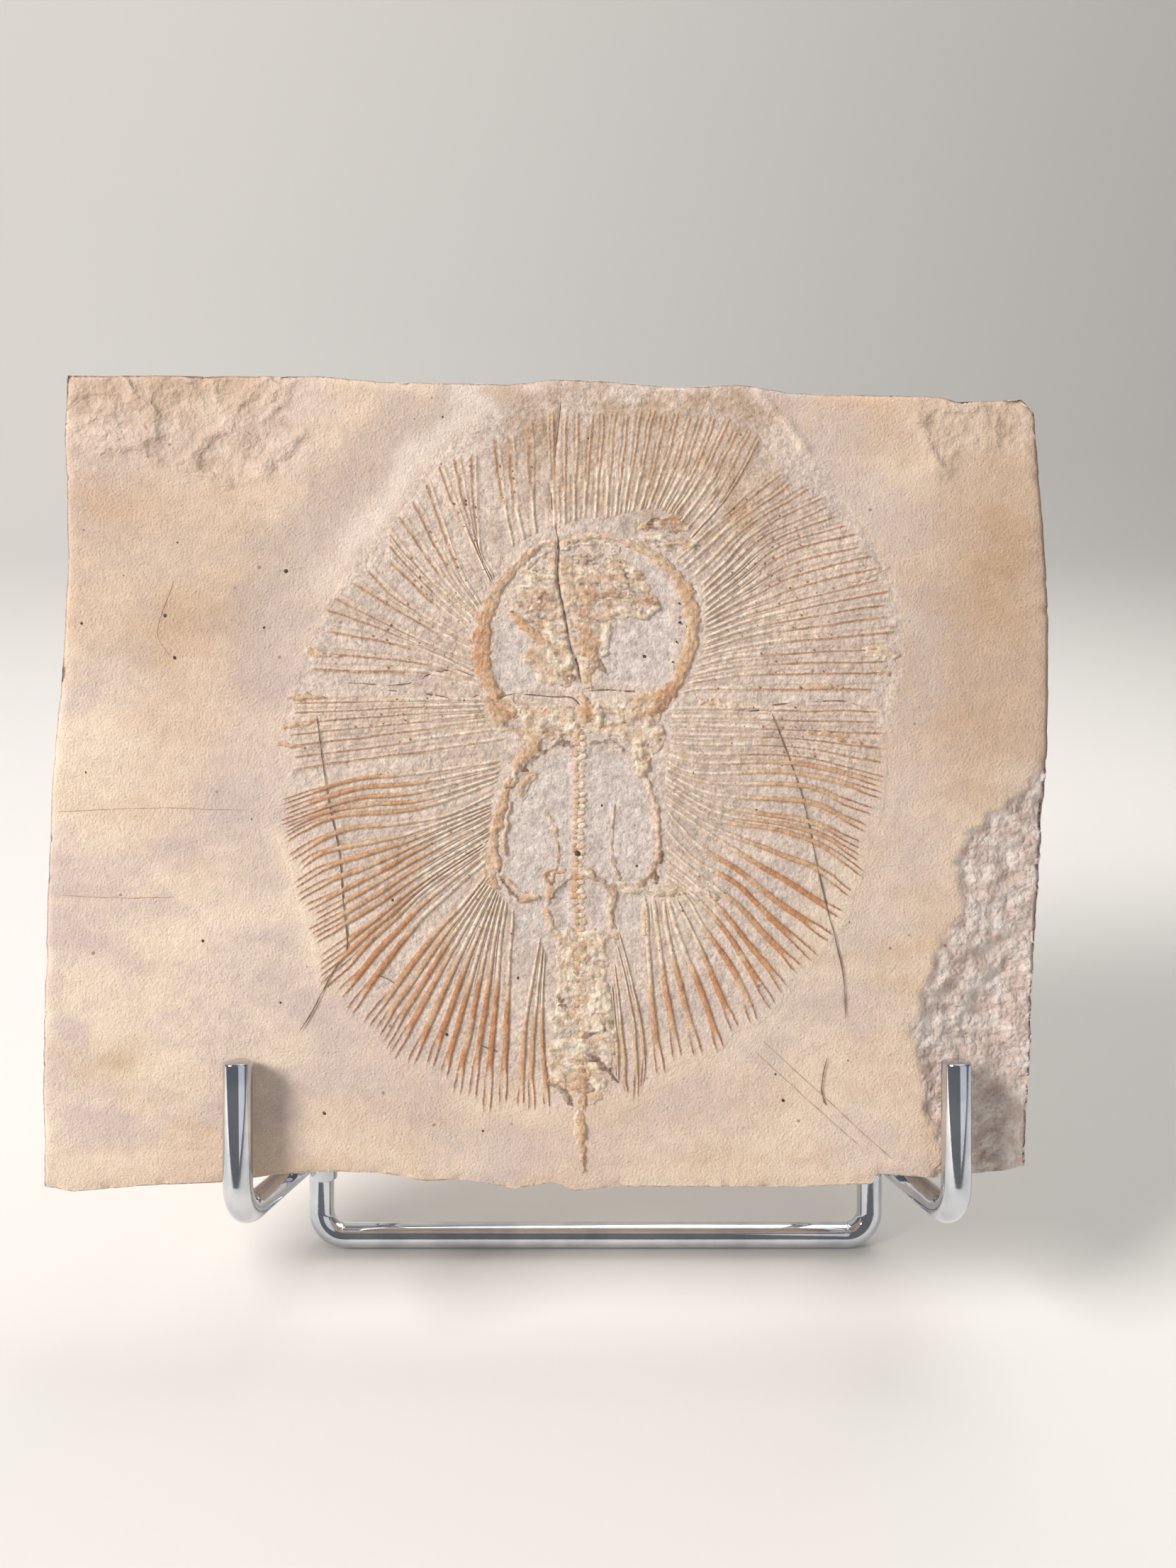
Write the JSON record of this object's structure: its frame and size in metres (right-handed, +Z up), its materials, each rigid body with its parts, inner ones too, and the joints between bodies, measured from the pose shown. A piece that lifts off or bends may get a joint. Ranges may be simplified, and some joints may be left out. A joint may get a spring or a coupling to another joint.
{
  "type": "fossil ray slab on a wire stand",
  "caption": "Flat limestone slab with a round-bodied fossil ray on its face, leaning back in a two-wire chrome display stand.",
  "frame": {"origin": "middle of the bounding box's bottom face, on the surface that the stand stands on", "axes": "+Z up, -Y towards the viewer of the fossil face, +X to that viewer's right"},
  "size_m": [0.1574, 0.1072, 0.1503],
  "materials": {
    "limestone": "matte",
    "chrome_wire": "polished"
  },
  "bodies": {
    "root": {"fossil_slab": "limestone", "cradle_wire": "chrome_wire", "back_wire": "chrome_wire"}
  },
  "joints": []
}
